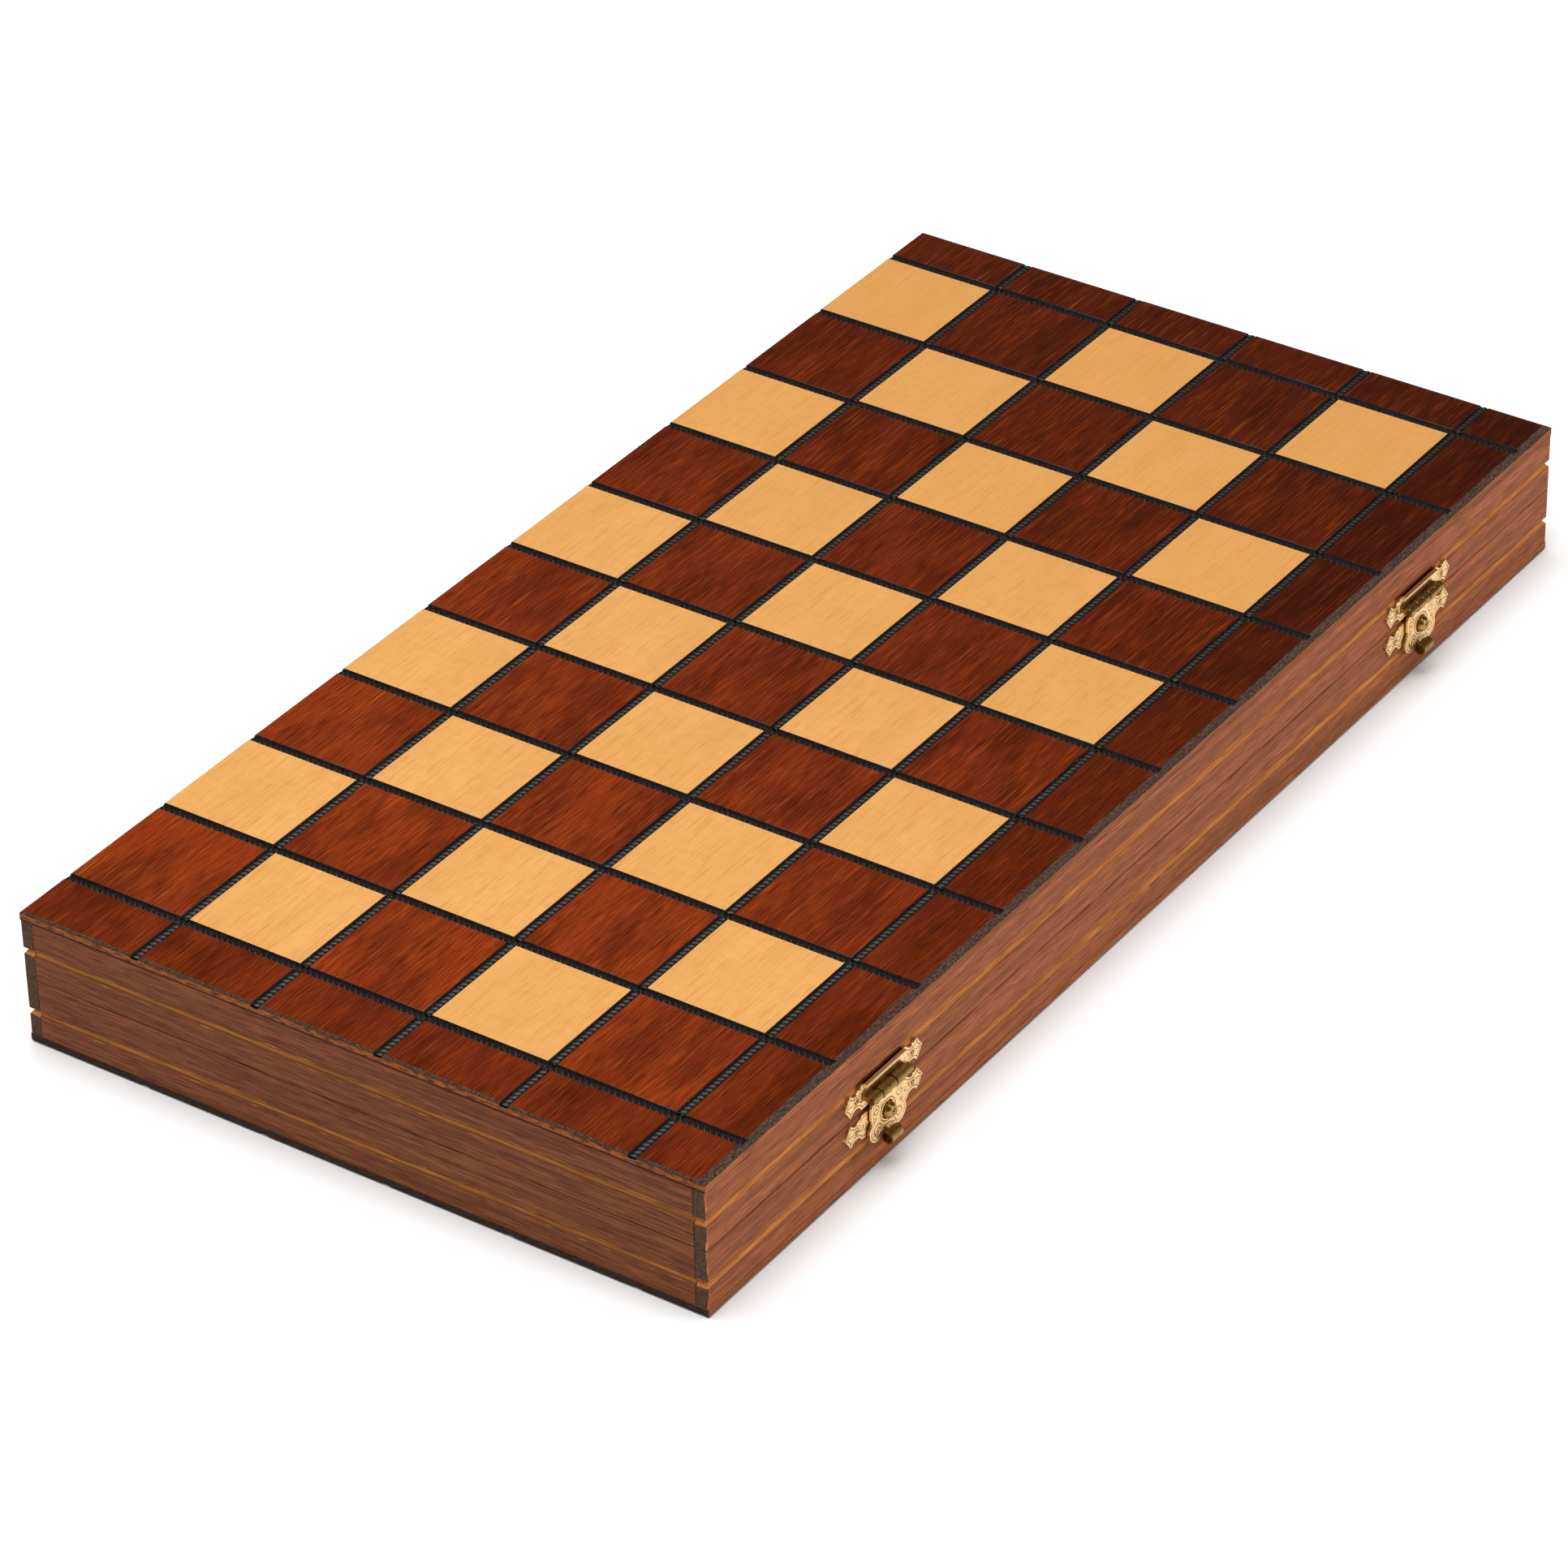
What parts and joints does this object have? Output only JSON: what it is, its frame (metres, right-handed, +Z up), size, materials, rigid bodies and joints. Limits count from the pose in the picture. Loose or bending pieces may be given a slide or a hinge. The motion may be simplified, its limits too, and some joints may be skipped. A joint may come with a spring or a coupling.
{
  "type": "backgammon set",
  "caption": "Folding wooden game case, draughts board outside and backgammon field inside, shut by two brass clasps, with stacked men and two dice in the tray.",
  "frame": {"origin": "centre of the closed case's underside", "axes": "+X along the case with the clasps at -Y and the hinges at +Y, +Z up through the lid; the case is shut"},
  "size_m": [0.4, 0.209, 0.0386],
  "materials": {
    "board_wood": "stained and lacquered birch plywood with burnt lines",
    "long_wall_wood": "stained beech, satin lacquer",
    "short_wall_wood": "stained beech, satin lacquer",
    "hinge_brass": "plain brass",
    "clasp_brass": "stamped and polished brass",
    "light_men_wood": "turned and lacquered",
    "dark_men_wood": "turned, stained and lacquered",
    "dice_plastic": "moulded, polished, pips filled"
  },
  "bodies": {
    "base": {"base_panel": "board_wood", "base_front_wall": "long_wall_wood", "base_back_wall": "long_wall_wood", "base_left_wall": "short_wall_wood", "base_right_wall": "short_wall_wood", "hinge_left_base_leaf": "hinge_brass", "hinge_right_base_leaf": "hinge_brass", "hinge_left_pin": "hinge_brass", "hinge_right_pin": "hinge_brass", "hinge_base_screws": "hinge_brass", "clasp_left_base_plate": "clasp_brass", "clasp_right_base_plate": "clasp_brass", "clasp_left_knob": "clasp_brass", "clasp_right_knob": "clasp_brass", "clasp_base_nails": "clasp_brass", "light_men": "light_men_wood", "dark_men": "dark_men_wood", "die_one": "dice_plastic", "die_two": "dice_plastic"},
    "lid": {"lid_panel": "board_wood", "lid_front_wall": "long_wall_wood", "lid_back_wall": "long_wall_wood", "lid_left_wall": "short_wall_wood", "lid_right_wall": "short_wall_wood", "hinge_left_lid_leaf": "hinge_brass", "hinge_right_lid_leaf": "hinge_brass", "hinge_lid_screws": "hinge_brass", "clasp_left_lid_plate": "clasp_brass", "clasp_right_lid_plate": "clasp_brass", "clasp_left_pin": "clasp_brass", "clasp_right_pin": "clasp_brass", "clasp_lid_nails": "clasp_brass"},
    "hasp_left": {"clasp_left_hasp": "clasp_brass"},
    "hasp_right": {"clasp_right_hasp": "clasp_brass"}
  },
  "joints": [
    {"name": "lid_hinge", "type": "hinge", "parent": "base", "child": "lid", "pos_m": [0, 0.1011, 0.0193], "axis": [-1, 0, 0], "range_deg": [0, 180]},
    {"name": "hasp_left_hinge", "type": "hinge", "parent": "lid", "child": "hasp_left", "pos_m": [-0.1274, -0.10345, 0.0233], "axis": [-1, 0, 0], "range_deg": [0, 165]},
    {"name": "hasp_right_hinge", "type": "hinge", "parent": "lid", "child": "hasp_right", "pos_m": [0.1274, -0.10345, 0.0233], "axis": [-1, 0, 0], "range_deg": [0, 165]}
  ]
}
